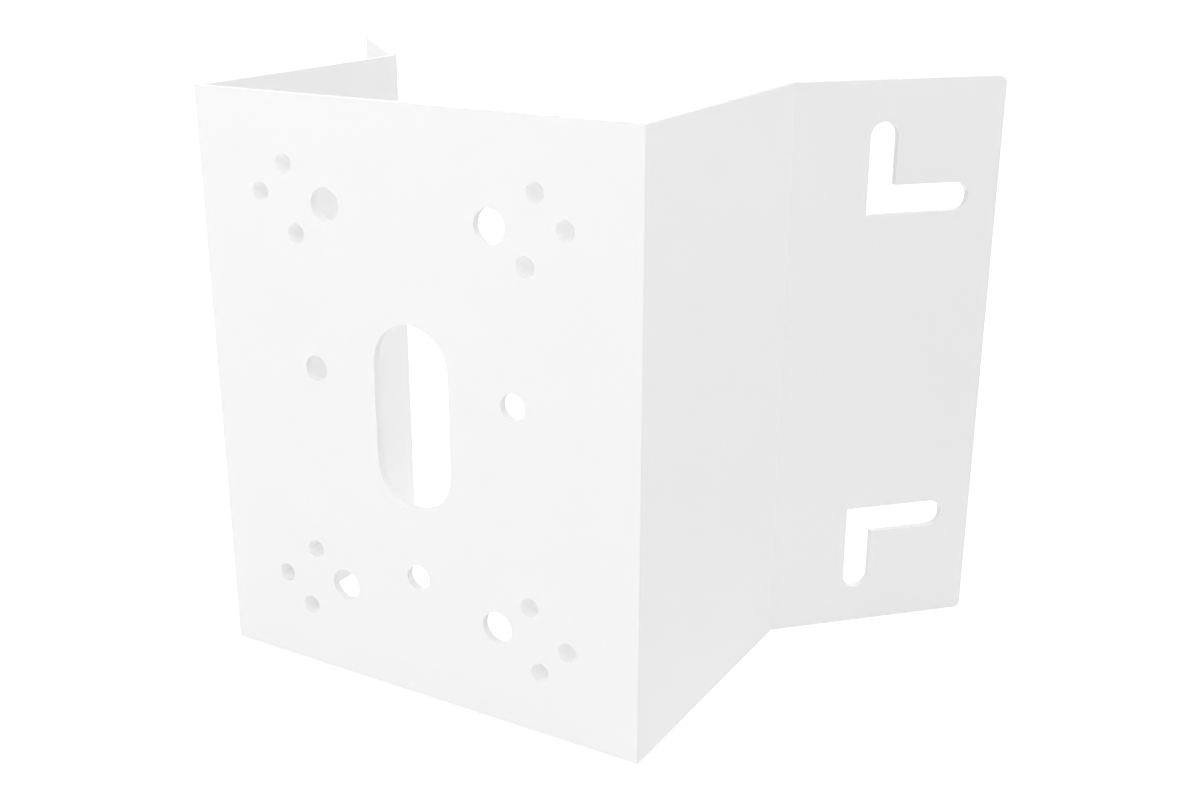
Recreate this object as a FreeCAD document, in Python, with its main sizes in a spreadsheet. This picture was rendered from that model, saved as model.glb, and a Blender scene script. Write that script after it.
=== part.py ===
import FreeCAD, Part
import Sketcher
import math
import os

# Bracket that carries a security camera on an outside building corner. One steel sheet is folded into
# an open hat: a front plate for the camera, two side walls square to it, and two splayed flanges that
# lie on the two faces of the corner. Round nuts are welded behind the plate's small screw holes.
#
# Frame in millimetres. The origin is the centre of the plate's outer face, +X runs across the plate,
# +Y runs back to the building and +Z is up. The section is the same all the way up.

# Each size is named, given in millimetres or degrees, and explained.
SIZES = (
    ("sheet_thickness", 2.5, "steel sheet"),
    ("plate_width", 150.0, "front plate across, outside the side walls"),
    ("plate_height", 180.0, "front plate, walls and flanges, up"),
    ("wall_depth", 93.0, "plate's outer face back to the flange fold"),
    ("flange_length", 69.0, "flange from its fold to its free edge"),
    ("flange_angle", 45.0, "flange's turn away from the plate's own direction"),
    ("outside_fold_radius", 0.5, "outer side of every fold"),
    ("inside_fold_radius", 0.5, "inner side of every fold"),
    ("flange_corner_radius", 2.2, "free corners of the flanges"),
    ("cable_slot_width", 26.0, "upright cable slot in the middle of the plate"),
    ("cable_slot_length", 56.0, "cable slot, end to end"),
    ("side_screws_across", 103.5, "small holes nearest the walls, centre to centre"),
    ("side_screws_up", 122.0, "the same holes, centre to centre"),
    ("end_step_in", 9.25, "each end hole from its side hole, towards the middle line"),
    ("end_step_out", 9.0, "the same step, towards the plate's near end"),
    ("inner_step_in", 12.5, "each inner hole from its side hole, towards the middle line"),
    ("inner_step_back", 11.0, "the same step, towards mid-height"),
    ("large_step_in", 23.75, "each large hole from its side hole, towards the middle line"),
    ("large_step_back", 1.5, "the same step, towards mid-height"),
    ("small_hole", 5.8, "small screw holes and the bores of their nuts"),
    ("large_hole", 10.0, "large plain holes"),
    ("ring_diameter", 80.0, "circle of the three middle-sized holes"),
    ("ring_drop", 10.3, "that circle's centre below the plate's middle"),
    ("ring_hole", 8.0, "middle-sized holes"),
    ("wall_slot_width", 9.0, "L-shaped wall screw slots"),
    ("wall_slot_along", 29.5, "slot's elbow from the flange fold, to its centre line"),
    ("wall_slot_up", 53.5, "slot's elbow above or below the middle, to its centre line"),
    ("wall_slot_reach_along", 25.0, "slot's arm towards the free edge, centre to centre"),
    ("wall_slot_reach_up", 19.5, "slot's arm towards the near end, centre to centre"),
    ("nut_diameter", 9.5, "round weld nuts"),
    ("nut_height", 7.5, "weld nut behind the plate"),
    ("nut_rim", 0.3, "chamfer round the nut's far end"),
    ("nut_mouth", 0.5, "chamfer at the bore's far mouth"),
)
# Each corner of the plate has a diamond of four holes: how far each stands from the plate's middle,
# across and up. The side holes lead and the others follow them.
HALF_ACROSS = "sizes.side_screws_across / 2"
HALF_UP = "sizes.side_screws_up / 2"
SCREW_PLACES = (
    ("end", HALF_ACROSS + " - sizes.end_step_in", HALF_UP + " + sizes.end_step_out"),
    ("side", HALF_ACROSS, HALF_UP),
    ("inner", HALF_ACROSS + " - sizes.inner_step_in", HALF_UP + " - sizes.inner_step_back"),
)
LARGE_PLACE = (HALF_ACROSS + " - sizes.large_step_in", HALF_UP + " - sizes.large_step_back")
RING_HOLES = 3
MIRROR_SIGNS = ((-1, "left"), (1, "right"))
LEVEL_SIGNS = ((-1, "lower"), (1, "upper"))
# How near two points are that count as one
NEAR = 0.01

# Sketcher's own numbers for its axes and for the points of a piece of geometry
ACROSS_AXIS, UP_AXIS = range(-1, -3, -1)
START, END, CENTRE = range(1, 4)
ORIGIN = (ACROSS_AXIS, START)
NORMAL = FreeCAD.Vector(0, 0, 1)

doc = FreeCAD.newDocument("corner_bracket")
sheet = doc.addObject("Spreadsheet::Sheet", "sizes")
for row, (name, value, note) in enumerate(SIZES, start=1):
    sheet.set("A%d" % row, name)
    sheet.set("B%d" % row, str(value))
    sheet.set("C%d" % row, note)
    sheet.setAlias("B%d" % row, name)
doc.recompute()


def size(name):
    """A named size as the sheet holds it."""
    return float(getattr(sheet, name))


def vector(x, y):
    return FreeCAD.Vector(x, y, 0)


def new_body(label):
    body = doc.addObject("PartDesign::Body", label)
    body.Label = label
    return body


def origin_plane(body, role):
    return next(part for part in body.Origin.OriginFeatures if part.Role == role)


def new_sketch(body, name, role):
    """An empty sketch on one of the body's own planes."""
    sketch = body.newObject("Sketcher::SketchObject", name)
    sketch.AttachmentSupport = [(origin_plane(body, role), "")]
    sketch.MapMode = "FlatFace"
    return sketch


def worked_out(formula):
    """What a formula of the sheet's sizes comes to now."""
    value = sheet.evalExpression(formula)
    return float(getattr(value, "Value", value))


def dimension(sketch, kind, places, name, formula):
    """Adds a driving dimension that follows a formula of the sheet's sizes."""
    start = worked_out(formula)
    if kind == "Angle":
        start = math.radians(start)
    index = sketch.addConstraint(Sketcher.Constraint(kind, *places, start))
    sketch.renameConstraint(index, name)
    sketch.setExpression("Constraints." + name, formula)


def closed_lines(sketch, corners):
    """Straight lines from corner to corner and back to the first, joined at their ends."""
    following = corners[1:] + corners[:1]
    lines = [
        sketch.addGeometry(Part.LineSegment(a, b), False)
        for a, b in zip(corners, following)
    ]
    for line, after in zip(lines, lines[1:] + lines[:1]):
        sketch.addConstraint(Sketcher.Constraint("Coincident", line, END, after, START))
    return lines


def along(sketch, direction, lines):
    for line in lines:
        sketch.addConstraint(Sketcher.Constraint(direction, line))


def tangent_chain(sketch, joints):
    """Joins each pair of line and arc ends smoothly."""
    for first, first_end, second, second_end in joints:
        sketch.addConstraint(Sketcher.Constraint("Tangent", first, first_end, second, second_end))


def padded(body, sketch, name, length, **settings):
    pad = body.newObject("PartDesign::Pad", name)
    pad.Profile = sketch
    for setting, value in settings.items():
        setattr(pad, setting, value)
    pad.setExpression("Length", length)
    doc.recompute()
    return pad


def cut_away(feature):
    """The material that a cutting feature took, which must be more than nothing."""
    before = feature.BaseFeature.Shape.Volume
    taken = before - feature.Shape.Volume
    if taken <= 0:
        raise RuntimeError(feature.Label + " cuts nothing")
    return taken


def cut_through(body, sketch, name):
    pocket = body.newObject("PartDesign::Pocket", name)
    pocket.Profile = sketch
    pocket.Type = "ThroughAll"
    doc.recompute()
    cut_away(pocket)
    return pocket


def edge_names(feature, wanted):
    """The names of the feature's edges that a test picks out."""
    return ["Edge%d" % n for n, edge in enumerate(feature.Shape.Edges, start=1) if wanted(edge)]


def rounded(body, feature, name, edges, radius):
    fillet = body.newObject("PartDesign::Fillet", name)
    fillet.Base = (feature, edges)
    fillet.setExpression("Radius", radius)
    doc.recompute()
    return fillet


def fold_lines():
    """Where the right-hand folds stand: on the visible side and on the hidden side of the sheet."""
    half = size("plate_width") / 2
    depth = size("wall_depth")
    thick = size("sheet_thickness")
    half_turn = math.radians(90 - size("flange_angle")) / 2
    front = vector(half, 0)
    front_hidden = vector(half - thick, thick)
    flange = vector(half, depth)
    flange_hidden = vector(half - thick, depth + thick * math.tan(half_turn))
    return front, front_hidden, flange, flange_hidden


def folded_section(body):
    """Sketch of the right half of the folded sheet, seen from above."""
    front, front_hidden, flange, flange_hidden = fold_lines()
    turn = math.radians(size("flange_angle"))
    outwards = vector(math.cos(turn), math.sin(turn))
    inwards = vector(-math.sin(turn), math.cos(turn))
    tip = flange + outwards * size("flange_length")
    tip_hidden = tip + inwards * size("sheet_thickness")
    plate_hidden = vector(0, size("sheet_thickness"))
    sketch = new_sketch(body, "folded_section", "XY_Plane")
    corners = [vector(0, 0), front, flange, tip, tip_hidden, flange_hidden, front_hidden, plate_hidden]
    lines = closed_lines(sketch, corners)
    plate, wall, wing, wing_end, wing_back, wall_back, plate_back, middle = lines
    sketch.addConstraint(Sketcher.Constraint("Coincident", plate, START, *ORIGIN))
    along(sketch, "Horizontal", (plate, plate_back))
    along(sketch, "Vertical", (wall, wall_back, middle))
    sketch.addConstraint(Sketcher.Constraint("Parallel", wing_back, wing))
    sketch.addConstraint(Sketcher.Constraint("Perpendicular", wing_end, wing))
    thickness = "sizes.sheet_thickness"
    dimension(sketch, "Distance", (plate,), "half_plate", "sizes.plate_width / 2")
    dimension(sketch, "Distance", (wall,), "wall", "sizes.wall_depth")
    dimension(sketch, "Distance", (wing,), "wing", "sizes.flange_length")
    dimension(sketch, "Angle", (wing,), "splay", "sizes.flange_angle * 1 deg")
    dimension(sketch, "Distance", (middle,), "plate_thickness", thickness)
    dimension(sketch, "Distance", (wing_end,), "wing_thickness", thickness)
    dimension(sketch, "Distance", (wall_back, END, wall), "wall_thickness", thickness)
    return sketch


def stands_at(spots):
    """A test for upright edges that stand on one of the spots, on either side of the middle."""
    def wanted(edge):
        ends = [vertex.Point for vertex in edge.Vertexes]
        places = [vector(abs(end.x), end.y) for end in ends]
        upright = len(ends) == 2 and abs(ends[0].x - ends[1].x) < NEAR
        return upright and any(
            all(place.distanceToPoint(spot) < NEAR for place in places)
            for spot in spots
        )
    return wanted


def free_corner(edge):
    """A test for the short edges across the sheet at the flanges' free corners."""
    ends = [vertex.Point for vertex in edge.Vertexes]
    turn = math.radians(size("flange_angle"))
    reach = size("plate_width") / 2 + size("flange_length") * math.cos(turn)
    width = size("sheet_thickness") * math.sin(turn)
    at_tip = all(reach - width - NEAR < abs(end.x) < reach + NEAR for end in ends)
    return len(ends) == 2 and at_tip and abs(ends[0].z - ends[1].z) < NEAR


def folded_sheet(body):
    """The plain folded sheet, before any hole is cut."""
    section = folded_section(body)
    half = padded(body, section, "right_half", "sizes.plate_height", SideType="Symmetric")
    whole = body.newObject("PartDesign::Mirrored", "both_halves")
    whole.Originals = [half]
    whole.MirrorPlane = (origin_plane(body, "YZ_Plane"), [""])
    body.Tip = whole
    doc.recompute()
    front, front_hidden, flange, flange_hidden = fold_lines()
    outer_edges = edge_names(whole, stands_at((front, flange_hidden)))
    outer = rounded(body, whole, "outside_folds", outer_edges, "sizes.outside_fold_radius")
    inner_edges = edge_names(outer, stands_at((front_hidden, flange)))
    inner = rounded(body, outer, "inside_folds", inner_edges, "sizes.inside_fold_radius")
    corner_edges = edge_names(inner, free_corner)
    rounded(body, inner, "flange_corners", corner_edges, "sizes.flange_corner_radius")


def hole_sketch(body, name, diameter, across, up):
    """Four equal circles, one in each quarter of the plate, across and up from its middle."""
    sketch = new_sketch(body, name + "_outline", "XZ_Plane")
    half_across = worked_out(across)
    half_up = worked_out(up)
    circles = []
    for side, side_name in MIRROR_SIGNS:
        for level, level_name in LEVEL_SIGNS:
            place = vector(side * half_across, level * half_up)
            circle = sketch.addGeometry(Part.Circle(place, NORMAL, size(diameter) / 2), False)
            circles.append(circle)
            centre = (circle, CENTRE)
            tag = level_name + "_" + side_name
            beside = ORIGIN + centre if side > 0 else centre + ORIGIN
            above = ORIGIN + centre if level > 0 else centre + ORIGIN
            dimension(sketch, "DistanceX", beside, tag + "_across", across)
            dimension(sketch, "DistanceY", above, tag + "_up", up)
    dimension(sketch, "Diameter", circles[:1], "hole", "sizes." + diameter)
    for circle in circles[1:]:
        sketch.addConstraint(Sketcher.Constraint("Equal", circles[0], circle))
    return sketch


def four_holes(body, name, diameter, across, up):
    cut_through(body, hole_sketch(body, name, diameter, across, up), name)


def ring_of_holes(body):
    """Middle-sized holes evenly spaced on a circle, one of them straight down."""
    sketch = new_sketch(body, "ring_hole_outline", "XZ_Plane")
    sketch.AttachmentOffset = FreeCAD.Placement(vector(0, -size("ring_drop")), FreeCAD.Rotation())
    sketch.setExpression("AttachmentOffset.Base.y", "-sizes.ring_drop")
    place = vector(0, -size("ring_diameter") / 2)
    circle = sketch.addGeometry(Part.Circle(place, NORMAL, size("ring_hole") / 2), False)
    sketch.addConstraint(Sketcher.Constraint("PointOnObject", circle, CENTRE, UP_AXIS))
    dimension(sketch, "DistanceY", (circle, CENTRE) + ORIGIN, "ring_radius", "sizes.ring_diameter / 2")
    dimension(sketch, "Diameter", (circle,), "hole", "sizes.ring_hole")
    first = cut_through(body, sketch, "ring_hole")
    one_hole = cut_away(first)
    ring = body.newObject("PartDesign::PolarPattern", "ring_holes")
    ring.Originals = [first]
    ring.Axis = (sketch, ["N_Axis"])
    ring.Angle = 360
    ring.Occurrences = RING_HOLES
    body.Tip = ring
    doc.recompute()
    if cut_away(ring) < one_hole:
        raise RuntimeError("the ring of holes isn't repeated")


def cable_slot(body):
    """Upright slot with round ends in the middle of the plate."""
    radius = size("cable_slot_width") / 2
    reach = size("cable_slot_length") / 2 - radius
    sketch = new_sketch(body, "cable_slot_outline", "XZ_Plane")
    top_circle = Part.Circle(vector(0, reach), NORMAL, radius)
    bottom_circle = Part.Circle(vector(0, -reach), NORMAL, radius)
    top = sketch.addGeometry(Part.ArcOfCircle(top_circle, 0, math.pi), False)
    left = sketch.addGeometry(Part.LineSegment(vector(-radius, reach), vector(-radius, -reach)), False)
    bottom = sketch.addGeometry(Part.ArcOfCircle(bottom_circle, math.pi, 2 * math.pi), False)
    right = sketch.addGeometry(Part.LineSegment(vector(radius, -reach), vector(radius, reach)), False)
    tangent_chain(sketch, (
        (top, END, left, START),
        (left, END, bottom, START),
        (bottom, END, right, START),
        (right, END, top, START),
    ))
    along(sketch, "Vertical", (left,))
    sketch.addConstraint(Sketcher.Constraint("Equal", top, bottom))
    sketch.addConstraint(Sketcher.Constraint("Symmetric", top, CENTRE, bottom, CENTRE, *ORIGIN))
    dimension(sketch, "Diameter", (top,), "width", "sizes.cable_slot_width")
    spread = "sizes.cable_slot_length - sizes.cable_slot_width"
    dimension(sketch, "DistanceY", (bottom, CENTRE, top, CENTRE), "spread", spread)
    cut_through(body, sketch, "cable_slot")


def wall_slot_sketch(body):
    """The upper L-shaped slot, drawn on the right flange's visible face from its fold."""
    radius = size("wall_slot_width") / 2
    elbow = vector(size("wall_slot_along"), size("wall_slot_up"))
    level_end = elbow + vector(size("wall_slot_reach_along"), 0)
    upright_end = elbow + vector(0, size("wall_slot_reach_up"))
    right = vector(radius, 0)
    up = vector(0, radius)
    sketch = new_sketch(body, "wall_slot_outline", "XZ_Plane")
    turned = FreeCAD.Rotation(FreeCAD.Vector(0, 1, 0), size("flange_angle"))
    fold = FreeCAD.Vector(size("plate_width") / 2, 0, -size("wall_depth"))
    sketch.AttachmentOffset = FreeCAD.Placement(fold, turned)
    sketch.setExpression("AttachmentOffset.Base.x", "sizes.plate_width / 2")
    sketch.setExpression("AttachmentOffset.Base.z", "-sizes.wall_depth")
    sketch.setExpression("AttachmentOffset.Rotation.Angle", "sizes.flange_angle * 1 deg")
    corner = elbow - right - up
    crook = elbow + right + up
    level_low = sketch.addGeometry(Part.LineSegment(corner, level_end - up), False)
    level_arc = Part.ArcOfCircle(Part.Circle(level_end, NORMAL, radius), -math.pi / 2, math.pi / 2)
    level_cap = sketch.addGeometry(level_arc, False)
    level_high = sketch.addGeometry(Part.LineSegment(level_end + up, crook), False)
    upright_near = sketch.addGeometry(Part.LineSegment(crook, upright_end + right), False)
    upright_arc = Part.ArcOfCircle(Part.Circle(upright_end, NORMAL, radius), 0, math.pi)
    upright_cap = sketch.addGeometry(upright_arc, False)
    upright_far = sketch.addGeometry(Part.LineSegment(upright_end - right, corner), False)
    tangent_chain(sketch, (
        (level_low, END, level_cap, START),
        (level_cap, END, level_high, START),
        (upright_near, END, upright_cap, START),
        (upright_cap, END, upright_far, START),
    ))
    sketch.addConstraint(Sketcher.Constraint("Coincident", level_high, END, upright_near, START))
    sketch.addConstraint(Sketcher.Constraint("Coincident", upright_far, END, level_low, START))
    along(sketch, "Horizontal", (level_low, level_high))
    along(sketch, "Vertical", (upright_near, upright_far))
    level_centre = (level_cap, CENTRE)
    upright_centre = (upright_cap, CENTRE)
    dimension(sketch, "Diameter", (level_cap,), "level_width", "sizes.wall_slot_width")
    dimension(sketch, "Diameter", (upright_cap,), "upright_width", "sizes.wall_slot_width")
    dimension(sketch, "DistanceX", ORIGIN + upright_centre, "elbow_along", "sizes.wall_slot_along")
    dimension(sketch, "DistanceY", ORIGIN + level_centre, "elbow_up", "sizes.wall_slot_up")
    reach_along = "sizes.wall_slot_reach_along"
    reach_up = "sizes.wall_slot_reach_up"
    dimension(sketch, "DistanceX", upright_centre + level_centre, "reach_along", reach_along)
    dimension(sketch, "DistanceY", level_centre + upright_centre, "reach_up", reach_up)
    return sketch


def wall_slots(body):
    """The L-shaped slots, upper and lower on both flanges, mirror images of each other."""
    first = cut_through(body, wall_slot_sketch(body), "wall_slot")
    one_slot = cut_away(first)
    four = body.newObject("PartDesign::MultiTransform", "wall_slots")
    four.Originals = [first]
    mirrors = []
    for name, role in (("wall_slots_down", "XY_Plane"), ("wall_slots_left", "YZ_Plane")):
        mirror = body.newObject("PartDesign::Mirrored", name)
        mirror.MirrorPlane = (origin_plane(body, role), [""])
        mirrors.append(mirror)
    four.Transformations = mirrors
    body.Tip = four
    doc.recompute()
    if cut_away(four) < one_slot:
        raise RuntimeError("the wall slots aren't mirrored")


def folded_bracket():
    body = new_body("bracket")
    folded_sheet(body)
    cable_slot(body)
    for place, across, up in SCREW_PLACES:
        four_holes(body, place + "_screw_holes", "small_hole", across, up)
    four_holes(body, "large_holes", "large_hole", *LARGE_PLACE)
    ring_of_holes(body)
    wall_slots(body)
    return body


def nut_section(body):
    """A ring: the nut's outside, and its bore as wide as the screw hole in front of it."""
    sketch = new_sketch(body, "nut_section", "XZ_Plane")
    for name, diameter in (("outside", "nut_diameter"), ("bore", "small_hole")):
        circle = sketch.addGeometry(Part.Circle(vector(0, 0), NORMAL, size(diameter) / 2), False)
        sketch.addConstraint(Sketcher.Constraint("Coincident", circle, CENTRE, *ORIGIN))
        dimension(sketch, "Diameter", (circle,), name, "sizes." + diameter)
    return sketch


def far_edge(diameter):
    """A test for the nut's round edge of a given diameter at its far end."""
    def wanted(edge):
        curve = edge.Curve
        is_round = isinstance(curve, Part.Circle) and abs(curve.Radius - size(diameter) / 2) < NEAR
        return is_round and abs(edge.CenterOfMass.y - size("nut_height")) < NEAR
    return wanted


def chamfered(body, feature, name, diameter, length):
    """Breaks the nut's far edge of a given diameter."""
    chamfer = body.newObject("PartDesign::Chamfer", name)
    chamfer.Base = (feature, edge_names(feature, far_edge(diameter)))
    chamfer.setExpression("Size", length)
    doc.recompute()
    cut_away(chamfer)
    return chamfer


def weld_nut(label, side, level, across, up):
    """One round nut, welded to the plate's back over its screw hole."""
    body = new_body(label)
    barrel = padded(body, nut_section(body), "barrel", "sizes.nut_height", Reversed=True)
    rimmed = chamfered(body, barrel, "outer_rim", "nut_diameter", "sizes.nut_rim")
    chamfered(body, rimmed, "bore_mouth", "small_hole", "sizes.nut_mouth")
    body.setExpression("Placement.Base.x", "%d * (%s)" % (side, across))
    body.setExpression("Placement.Base.y", "sizes.sheet_thickness")
    body.setExpression("Placement.Base.z", "%d * (%s)" % (level, up))
    return body


def nuts():
    """A nut behind each small hole."""
    return [
        weld_nut("nut_%s_%s_%s" % (place, level_name, side_name), side, level, across, up)
        for place, across, up in SCREW_PLACES
        for level, level_name in LEVEL_SIGNS
        for side, side_name in MIRROR_SIGNS
    ]


def check_document():
    """Stops if any object failed or any piece isn't one sound solid."""
    for thing in doc.Objects:
        if "Invalid" in thing.State or "Error" in thing.State:
            raise RuntimeError(thing.Label + " failed")
    for piece in pieces:
        shape = piece.Shape
        if shape.isNull() or not shape.isValid() or len(shape.Solids) != 1:
            raise RuntimeError(piece.Label + " isn't one sound solid")


pieces = [folded_bracket()] + nuts()
doc.recompute()
check_document()
os.makedirs("parts", exist_ok=True)
for piece in pieces:
    piece.Shape.exportStep("parts/%s.step" % piece.Label)
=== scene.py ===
import math

import bpy
import numpy as np
from mathutils import Matrix, Vector


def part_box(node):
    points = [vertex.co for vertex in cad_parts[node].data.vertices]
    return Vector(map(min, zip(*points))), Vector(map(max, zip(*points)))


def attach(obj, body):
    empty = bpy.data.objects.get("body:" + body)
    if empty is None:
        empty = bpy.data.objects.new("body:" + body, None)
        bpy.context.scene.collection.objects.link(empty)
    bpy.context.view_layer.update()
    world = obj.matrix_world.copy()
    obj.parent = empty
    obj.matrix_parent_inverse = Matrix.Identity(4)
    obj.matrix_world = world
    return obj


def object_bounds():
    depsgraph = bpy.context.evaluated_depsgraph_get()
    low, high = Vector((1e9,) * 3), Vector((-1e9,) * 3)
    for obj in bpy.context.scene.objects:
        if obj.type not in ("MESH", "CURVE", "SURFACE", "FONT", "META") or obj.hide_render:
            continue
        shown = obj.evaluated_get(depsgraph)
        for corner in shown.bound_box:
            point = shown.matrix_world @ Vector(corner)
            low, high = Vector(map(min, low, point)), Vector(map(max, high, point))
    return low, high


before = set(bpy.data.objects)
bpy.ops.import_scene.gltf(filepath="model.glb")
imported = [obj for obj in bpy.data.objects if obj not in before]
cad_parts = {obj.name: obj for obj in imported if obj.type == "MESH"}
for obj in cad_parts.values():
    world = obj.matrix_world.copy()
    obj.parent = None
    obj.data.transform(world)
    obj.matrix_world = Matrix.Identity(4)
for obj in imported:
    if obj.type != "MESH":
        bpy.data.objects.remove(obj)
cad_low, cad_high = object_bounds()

# White powder-coated sheet-metal bracket for an outside building corner, with nuts welded behind its
# plate. All lengths are in metres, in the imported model's frame: +X across the plate, +Y back to the
# building, +Z up, with the origin in the middle of the plate's outer face.

TURN = 2 * math.pi
BODY = "root"
WHITE = (1, 1, 1, 1)

# The photograph's viewpoint: place, direction, roll and lens. Azimuth 0 looks along +Y, and a greater
# one turns to the left.
CAMERA_PLACE = (0.24533, -0.31938, 0.14492)
CAMERA_AZIMUTH_DEG = 30.633
CAMERA_ELEVATION_DEG = 19.175
CAMERA_ROLL_DEG = -0.04
CAMERA_LENS_MM = 44.41
CAMERA_SENSOR_MM = 36.0
CAMERA_SHIFT = 0.01637
CAMERA_CLIP_START = 0.01

# Coat that lines each small hole and its nut: how thick it is, where it starts behind the plate's
# face and ends before the nut's far face, how long it rounds off there, and how deep its outer wall
# lies in the metal
LINING_THICK = 0.00005
LINING_START = 0.00015
LINING_MOUTH = 0.0005
LINING_ROUND = 0.0005
LINING_WALL = 0.00010
LINING_TURN_STEPS = 64
LINING_STEPS_PER_PITCH = 12

# The coarse M6 thread that still shows faintly through the lining, and the length that it fades over
THREAD_PITCH = 0.001
THREAD_DEPTH = 0.00004
THREAD_FADE = 0.0015

# Coat and weld that round off the joint between a nut and the plate, and how far they reach into both
FILLET_RADIUS = 0.0007
FILLET_SINK = 0.00006
FILLET_ARC_STEPS = 6
FILLET_TURN_STEPS = 64

# The coat's waves: scales count them per metre, and each step of detail adds finer ones
PEEL_SCALE = 520.0
PEEL_DETAIL = 1.5
GRAIN_SCALE = 2600.0
GRAIN_DETAIL = 2.0
GRAIN_ROUGHNESS = 0.6
CLOUD_SCALE = 22.0
CLOUD_DETAIL = 3.0

# Raised specks, scattered one to a cell: cells per metre, and a speck's radius as a share of a cell
SPECK_SCALE = 75.0
SPECK_RADIUS = 0.022

# Relief of the coat: its depth, and the heights of orange peel, grain and specks as shares of it
COAT_RELIEF = 0.000012
PEEL_HEIGHT = 1.0
SHEET_GRAIN = 0.3
NUT_GRAIN = 0.5
SPECK_HEIGHT = 0.8

# The range of a noise texture that holds most of its values
NOISE_SPAN = (0.3, 0.7)

# Colours of the coat where it is thin and where it is thick, and how far grain shifts it between them
SHEET_TONES = ((0.927, 0.922, 0.928), (0.933, 0.929, 0.934))
# The nuts' coat is the sheet's white painted lighter, which lifts the shade inside their bores
NUT_TONES_PAINTED_LIGHTER = ((0.955, 0.950, 0.956), (0.970, 0.967, 0.970))
FLECK_SHIFT = 0.5

# How rough the coat is, how far that varies, and how much it mirrors, where 0.5 is bare plastic
COAT_ROUGHNESS = 0.6
COAT_ROUGHNESS_SHIFT = 0.03
COAT_SHINE = 0.25

# Painted light: an own glow of the coat inside the bores, which lifts the shade there. It stands for
# the light that has bounced between a bore's walls more often than a render follows it.
BORE_PAINTED_GLOW = 0.07

# The studio floor: its place and size, its shade from darkest to lightest, the scale of that
# unevenness, how rough it is and how much it mirrors
FLOOR_HEIGHT = cad_low.z
FLOOR_RADIUS = 12.0
FLOOR_CORNERS = 96
FLOOR_SHADES = (0.895, 0.905)
FLOOR_CLOUD_SCALE = 6.0
FLOOR_ROUGHNESS = 0.9
FLOOR_SHINE = 0.1

# The floor's own glow far away and the distances that it rises over, its glow at the bracket's foot
# and the distances that it fades over, and the least glow where the camera sees it
FAR_GLOW = 1.0
FAR_SPAN = (0.8, 2.5)
FOOT_GLOW = 0.155
FOOT_SPAN = (0.1, 0.35)
SEEN_GLOW = 0.5

# How brightly the surroundings glow at the horizon and overhead, and the sine of the elevation where
# the horizon's glow ends
WORLD_HORIZON = 0.8
WORLD_OVERHEAD = 0.1
HORIZON_TOP = 0.3

# The point that the soft boxes face, in the hollow behind the plate
LIGHT_TARGET = (0, 0.06, 0)

# Soft boxes: name, azimuth and elevation in degrees, distance, size, and power in watts
SOFT_BOXES = (
    ("back_box", 180, 30, 2.0, 1.1, 2.5),
    ("back_high_box", 180, 60, 2.0, 1.1, 3.4),
    ("back_left_box", -140, 30, 2.0, 1.1, 12.8),
    ("back_right_box", 140, 60, 2.0, 1.1, 7.1),
    ("camera_high_box", 31, 55, 2.0, 1.1, 11.1),
    ("front_box", 0, 30, 2.0, 1.1, 2.3),
    ("left_box", -45, 5, 4.0, 2.2, 78.8),
    ("right_high_box", 100, 60, 2.0, 1.1, 3.6),
    ("right_box", 105, 15, 4.0, 3.6, 29.4),
    ("top_box", 0, 89, 2.0, 0.6, 3.7),
)


def closed_surface(name, points):
    """A mesh from a grid of points (row, column, 3) that closes on itself both ways, like a ring.

    Each face joins the grid's neighbours (i, j), (i, j+1), (i+1, j+1) and (i+1, j), counted round.
    """
    rows, columns = points.shape[:2]
    number = np.arange(rows * columns).reshape(rows, columns)
    right = np.roll(number, -1, axis=1)
    below = np.roll(number, -1, axis=0)
    below_right = np.roll(right, -1, axis=0)
    faces = np.stack([number, right, below_right, below], axis=-1)
    mesh = bpy.data.meshes.new(name)
    mesh.from_pydata(points.reshape(-1, 3), [], faces.reshape(-1, 4))
    mesh.shade_smooth()
    mesh.update()
    piece = bpy.data.objects.new(name, mesh)
    bpy.context.scene.collection.objects.link(piece)
    return piece


def nut_axis(nut):
    """A nut's centre across and up, and where its ends lie along +Y."""
    low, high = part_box(nut)
    return (low.x + high.x) / 2, (low.z + high.z) / 2, low.y, high.y


def nut_radii(nut):
    """A nut's bore and outside radius: the least and most distance of its corners from its axis."""
    x, z, _, _ = nut_axis(nut)
    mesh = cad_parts[nut].data
    corners = np.empty(len(mesh.vertices) * 3, np.float32)
    mesh.vertices.foreach_get("co", corners)
    corners = corners.reshape(-1, 3)
    distance = np.hypot(corners[:, 0] - x, corners[:, 2] - z)
    return float(distance.min()), float(distance.max())


def turned_surface(name, nut, radius, along):
    """A closed surface about a nut's axis, from grids of its radius and of its place along +Y.

    The grids' columns are equal shares of a turn. At the angle a a point lies at radius * cos a
    across and radius * sin a up from the axis.
    """
    x, z, _, _ = nut_axis(nut)
    columns = radius.shape[1]
    angle = TURN * np.arange(columns) / columns
    points = np.stack([x + radius * np.cos(angle), along, z + radius * np.sin(angle)], axis=-1)
    return closed_surface(name, points)


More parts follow.
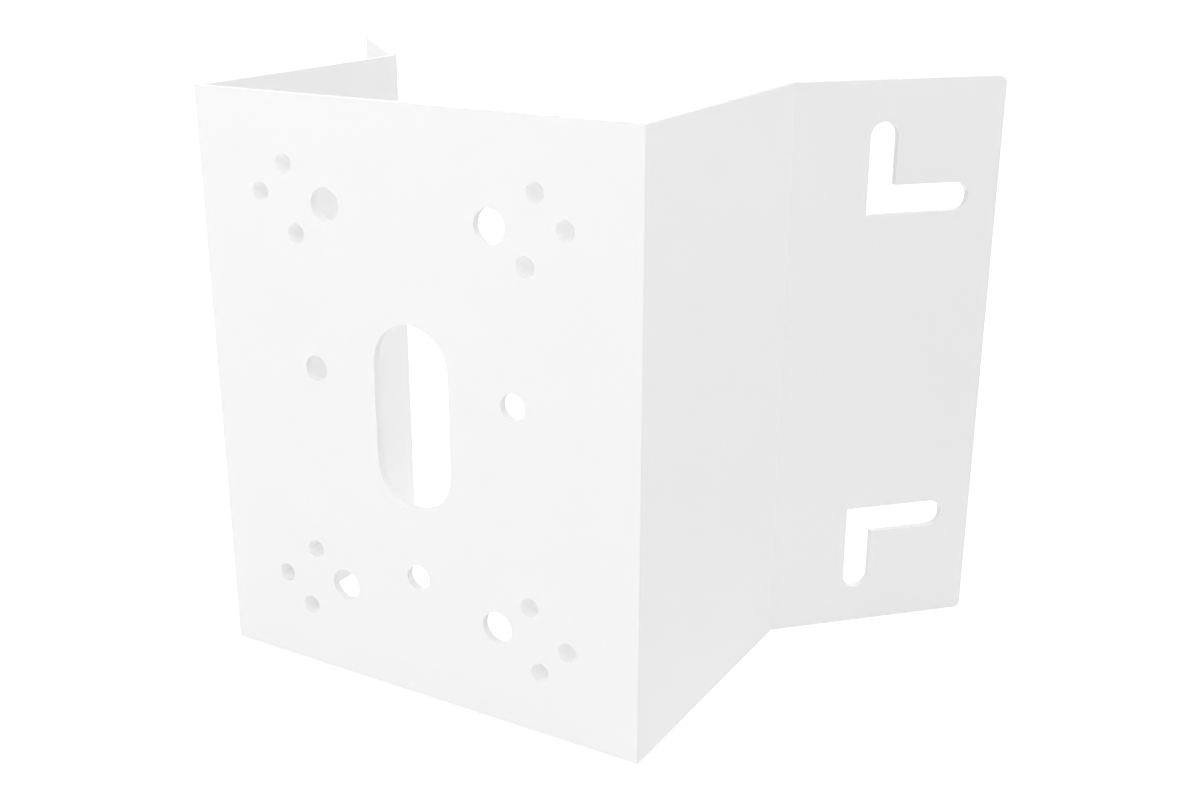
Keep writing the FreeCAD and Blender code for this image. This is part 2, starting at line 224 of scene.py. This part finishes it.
def bore_lining(nut):
    """The coat that lines a small hole and its nut's bore, as a closed sleeve with a faint thread.

    At the share t of a turn and the place y the inner wall's radius is bore - thick * round - thread
    * ridge * fade. Round rises from 0 at each end as the root of 1 - (1 - s) squared, where s is the
    distance from that end over the rounding's length. The ridge is a raised cosine of y / pitch - t.
    The fade rises smoothly from 0 at the plate's back and at the far end. The outer wall is a plain
    cylinder in the metal.
    """
    _, _, near, far = nut_axis(nut)
    bore, _ = nut_radii(nut)
    start = cad_low.y + LINING_START
    end = far - LINING_MOUTH
    rows = round((end - start) / THREAD_PITCH * LINING_STEPS_PER_PITCH)
    y = np.linspace(start, end, rows)[:, None]
    turn = np.arange(LINING_TURN_STEPS)[None, :] / LINING_TURN_STEPS
    edge = np.clip(np.minimum(y - start, end - y) / LINING_ROUND, 0, 1)
    rounded = np.sqrt(1 - (1 - edge) ** 2)
    ridge = 0.5 + 0.5 * np.cos(TURN * ((y - start) / THREAD_PITCH - turn))
    rise = np.clip(np.minimum(y - near, end - y) / THREAD_FADE, 0, 1)
    fade = rise * rise * (3 - 2 * rise)
    inner = bore - LINING_THICK * rounded - THREAD_DEPTH * ridge * fade
    outer = np.full((2, LINING_TURN_STEPS), bore + LINING_WALL)
    inner_along = np.repeat(y, LINING_TURN_STEPS, axis=1)
    outer_along = np.repeat([[end], [start]], LINING_TURN_STEPS, axis=1)
    radius = np.vstack([inner, outer])
    along = np.vstack([inner_along, outer_along])
    return turned_surface(nut.replace("nut_", "lining_"), nut, radius, along)


def coat_fillet(nut):
    """The concave fillet of weld and coat round a nut's foot.

    Its section is a quarter circle, outwards r * (1 - sin a) and upwards r * (1 - cos a), closed a
    little inside the nut and the plate, and turned about the nut's axis.
    """
    _, _, near, _ = nut_axis(nut)
    _, outside = nut_radii(nut)
    bend = np.linspace(0, TURN / 4, FILLET_ARC_STEPS)
    arc_out = FILLET_RADIUS * (1 - np.sin(bend))
    arc_up = FILLET_RADIUS * (1 - np.cos(bend))
    out = np.concatenate([arc_out, [-FILLET_SINK, -FILLET_SINK, FILLET_RADIUS]])
    up = np.concatenate([arc_up, [FILLET_RADIUS, -FILLET_SINK, -FILLET_SINK]])
    radius = np.repeat(outside + out[:, None], FILLET_TURN_STEPS, axis=1)
    along = np.repeat(near + up[:, None], FILLET_TURN_STEPS, axis=1)
    return turned_surface(nut.replace("nut_", "weld_"), nut, radius, along)


def new_group(name, inputs, outputs):
    """An empty shader node group with named sockets, and its entry and exit nodes."""
    group = bpy.data.node_groups.new(name, "ShaderNodeTree")
    for label, kind in inputs:
        group.interface.new_socket(label, in_out="INPUT", socket_type=kind)
    for label, kind in outputs:
        group.interface.new_socket(label, in_out="OUTPUT", socket_type=kind)
    return group, group.nodes.new("NodeGroupInput"), group.nodes.new("NodeGroupOutput")


def placed_group(tree, group, **values):
    """A node group placed in a material, with its own values."""
    node = tree.nodes.new("ShaderNodeGroup")
    node.node_tree = group
    for label, value in values.items():
        node.inputs[label].default_value = value
    return node


def noise(tree, where, scale, detail=2.0, roughness=0.5):
    """A noise texture's value, from 0 to 1."""
    node = tree.nodes.new("ShaderNodeTexNoise")
    node.inputs["Scale"].default_value = scale
    node.inputs["Detail"].default_value = detail
    node.inputs["Roughness"].default_value = roughness
    tree.links.new(where, node.inputs["Vector"])
    return node.outputs["Fac"]


def maths(tree, operation, *values):
    """A math node, whose inputs are sockets or plain numbers."""
    node = tree.nodes.new("ShaderNodeMath")
    node.operation = operation
    for socket, value in zip(node.inputs, values):
        if isinstance(value, bpy.types.NodeSocket):
            tree.links.new(value, socket)
        else:
            socket.default_value = value
    return node.outputs["Value"]


def ranged(tree, value, low, high, to_low, to_high):
    """A value's range low to high, turned into another."""
    node = tree.nodes.new("ShaderNodeMapRange")
    tree.links.new(value, node.inputs["Value"])
    node.inputs["From Min"].default_value = low
    node.inputs["From Max"].default_value = high
    node.inputs["To Min"].default_value = to_low
    node.inputs["To Max"].default_value = to_high
    return node.outputs["Result"]


def coat_grain_group():
    """Powder coat's surface: orange peel, fine grain, a few raised specks, and slow clouds."""
    group, entry, leave = new_group(
        "coat_grain",
        (("Where", "NodeSocketVector"), ("Peel", "NodeSocketFloat"), ("Grain", "NodeSocketFloat")),
        (("Height", "NodeSocketFloat"), ("Cloud", "NodeSocketFloat"), ("Speckle", "NodeSocketFloat")),
    )
    where = entry.outputs["Where"]
    peel_wave = noise(group, where, PEEL_SCALE, PEEL_DETAIL)
    peel = maths(group, "MULTIPLY", peel_wave, entry.outputs["Peel"])
    grain_wave = noise(group, where, GRAIN_SCALE, GRAIN_DETAIL, GRAIN_ROUGHNESS)
    grain = maths(group, "MULTIPLY", grain_wave, entry.outputs["Grain"])
    cells = group.nodes.new("ShaderNodeTexVoronoi")
    cells.inputs["Scale"].default_value = SPECK_SCALE
    group.links.new(where, cells.inputs["Vector"])
    speck = ranged(group, cells.outputs["Distance"], 0.0, SPECK_RADIUS, SPECK_HEIGHT, 0.0)
    height = maths(group, "ADD", maths(group, "ADD", peel, grain), speck)
    cloud = noise(group, where, CLOUD_SCALE, CLOUD_DETAIL)
    group.links.new(height, leave.inputs["Height"])
    group.links.new(cloud, leave.inputs["Cloud"])
    group.links.new(grain_wave, leave.inputs["Speckle"])
    return group


def powder_coat(name, tones, grain, glow=0.0):
    """White powder coat. Clouds and flecks shift its tone from thin to thick, clouds its gloss."""
    material = bpy.data.materials.new(name)
    material.use_nodes = True
    tree = material.node_tree
    shader = tree.nodes["Principled BSDF"]
    where = tree.nodes.new("ShaderNodeTexCoord").outputs["Object"]
    surface = placed_group(tree, coat_grain, Peel=PEEL_HEIGHT, Grain=grain)
    tree.links.new(where, surface.inputs["Where"])
    relief = tree.nodes.new("ShaderNodeBump")
    relief.inputs["Strength"].default_value = 1.0
    relief.inputs["Distance"].default_value = COAT_RELIEF
    tree.links.new(surface.outputs["Height"], relief.inputs["Height"])
    tree.links.new(relief.outputs["Normal"], shader.inputs["Normal"])
    cloud = ranged(tree, surface.outputs["Cloud"], *NOISE_SPAN, 0.0, 1.0)
    fleck = ranged(tree, surface.outputs["Speckle"], *NOISE_SPAN, -FLECK_SHIFT, FLECK_SHIFT)
    thin, thick = tones
    tone = tree.nodes.new("ShaderNodeMix")
    tone.data_type = "RGBA"
    tone.inputs["A"].default_value = (*thin, 1)
    tone.inputs["B"].default_value = (*thick, 1)
    tree.links.new(maths(tree, "ADD", cloud, fleck), tone.inputs["Factor"])
    tree.links.new(tone.outputs["Result"], shader.inputs["Base Color"])
    smoothest = COAT_ROUGHNESS - COAT_ROUGHNESS_SHIFT
    roughest = COAT_ROUGHNESS + COAT_ROUGHNESS_SHIFT
    gloss = ranged(tree, surface.outputs["Cloud"], *NOISE_SPAN, smoothest, roughest)
    tree.links.new(gloss, shader.inputs["Roughness"])
    shader.inputs["Specular IOR Level"].default_value = COAT_SHINE
    shader.inputs["Emission Color"].default_value = WHITE
    # A glow above 0 is painted light: the coat shines by itself though it is no lamp
    shader.inputs["Emission Strength"].default_value = glow
    return material


def floor_material():
    """Pale matt studio floor with a faint unevenness, whose own glow rises away from the bracket.

    Close round the bracket's foot it glows a little too, which fills the bracket's own shadow. Where it
    is seen directly it glows at least as much as SEEN_GLOW, like a lit backdrop.
    """
    material = bpy.data.materials.new("studio_floor")
    material.use_nodes = True
    tree = material.node_tree
    shader = tree.nodes["Principled BSDF"]
    where = tree.nodes.new("ShaderNodeTexCoord").outputs["Object"]
    shade = ranged(tree, noise(tree, where, FLOOR_CLOUD_SCALE), 0.0, 1.0, *FLOOR_SHADES)
    tree.links.new(shade, shader.inputs["Base Color"])
    shader.inputs["Roughness"].default_value = FLOOR_ROUGHNESS
    shader.inputs["Specular IOR Level"].default_value = FLOOR_SHINE
    shader.inputs["Emission Color"].default_value = WHITE
    away = tree.nodes.new("ShaderNodeVectorMath")
    away.operation = "LENGTH"
    tree.links.new(where, away.inputs[0])
    far = ranged(tree, away.outputs["Value"], *FAR_SPAN, 0.0, FAR_GLOW)
    foot = ranged(tree, away.outputs["Value"], *FOOT_SPAN, FOOT_GLOW, 0.0)
    own = maths(tree, "ADD", far, foot)
    seen = tree.nodes.new("ShaderNodeLightPath").outputs["Is Camera Ray"]
    backdrop = maths(tree, "MULTIPLY", seen, SEEN_GLOW)
    tree.links.new(maths(tree, "MAXIMUM", own, backdrop), shader.inputs["Emission Strength"])
    return material


def dress(piece, material):
    """Gives a piece its material."""
    piece.data.materials.clear()
    piece.data.materials.append(material)


def studio_floor():
    """A round pale floor under the bracket's lower edges."""
    bpy.ops.mesh.primitive_circle_add(
        vertices=FLOOR_CORNERS, radius=FLOOR_RADIUS, fill_type="NGON", location=(0, 0, FLOOR_HEIGHT)
    )
    floor = bpy.context.object
    floor.name = "floor"
    floor.data.materials.append(floor_material())


def photo_camera():
    """The camera at the photograph's viewpoint."""
    data = bpy.data.cameras.new("photo_camera")
    data.lens = CAMERA_LENS_MM
    data.sensor_width = CAMERA_SENSOR_MM
    data.shift_x = CAMERA_SHIFT
    data.clip_start = CAMERA_CLIP_START
    camera = bpy.data.objects.new("photo_camera", data)
    turned = Matrix.Rotation(math.radians(CAMERA_AZIMUTH_DEG), 4, "Z")
    tilted = Matrix.Rotation(math.radians(90 - CAMERA_ELEVATION_DEG), 4, "X")
    rolled = Matrix.Rotation(math.radians(CAMERA_ROLL_DEG), 4, "Z")
    camera.matrix_world = Matrix.Translation(CAMERA_PLACE) @ turned @ tilted @ rolled
    bpy.context.scene.collection.objects.link(camera)
    bpy.context.scene.camera = camera


def studio_world():
    """White surroundings that light the bracket from round the horizon and less from overhead."""
    world = bpy.data.worlds.new("studio")
    world.use_nodes = True
    tree = world.node_tree
    split = tree.nodes.new("ShaderNodeSeparateXYZ")
    tree.links.new(tree.nodes.new("ShaderNodeTexCoord").outputs["Generated"], split.inputs["Vector"])
    glow = ranged(tree, split.outputs["Z"], 0.0, HORIZON_TOP, WORLD_HORIZON, WORLD_OVERHEAD)
    seen = tree.nodes.new("ShaderNodeLightPath").outputs["Is Camera Ray"]
    background = tree.nodes["Background"]
    background.inputs["Color"].default_value = WHITE
    tree.links.new(maths(tree, "MAXIMUM", glow, seen), background.inputs["Strength"])
    bpy.context.scene.world = world


def soft_light(name, azimuth, elevation, distance, size, power):
    """A square area light that faces the bracket. Azimuth 0 is in front of its plate."""
    data = bpy.data.lights.new(name, "AREA")
    data.size = size
    data.energy = power
    turn = math.radians(azimuth)
    rise = math.radians(elevation)
    across = math.sin(turn) * math.cos(rise)
    back = -math.cos(turn) * math.cos(rise)
    towards = Vector((across, back, math.sin(rise)))
    light = bpy.data.objects.new(name, data)
    light.location = Vector(LIGHT_TARGET) + distance * towards
    light.rotation_euler = towards.to_track_quat("Z", "Y").to_euler()
    light.visible_camera = False
    bpy.context.scene.collection.objects.link(light)


def studio_light():
    """The surroundings and the soft boxes, shown without a film curve."""
    bpy.context.scene.view_settings.view_transform = "Standard"
    studio_world()
    for name, *settings in SOFT_BOXES:
        soft_light(name, *settings)


photo_camera()
coat_grain = coat_grain_group()
sheet_coat = powder_coat("sheet_coat", SHEET_TONES, SHEET_GRAIN)
# The nuts' coat is painted lighter than the sheet's, which lifts the shade in the bores
nut_coat = powder_coat("nut_coat", NUT_TONES_PAINTED_LIGHTER, NUT_GRAIN)
# The bores' coat carries painted light, a glow that lifts the shade inside them
bore_coat_painted_glow = powder_coat("bore_coat_painted_glow", NUT_TONES_PAINTED_LIGHTER, NUT_GRAIN, BORE_PAINTED_GLOW)

dress(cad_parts["bracket"], sheet_coat)
for nut in sorted(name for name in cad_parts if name.startswith("nut_")):
    dress(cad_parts[nut], nut_coat)
    for piece, coat in ((bore_lining(nut), bore_coat_painted_glow), (coat_fillet(nut), nut_coat)):
        dress(piece, coat)
        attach(piece, BODY)

studio_floor()
studio_light()
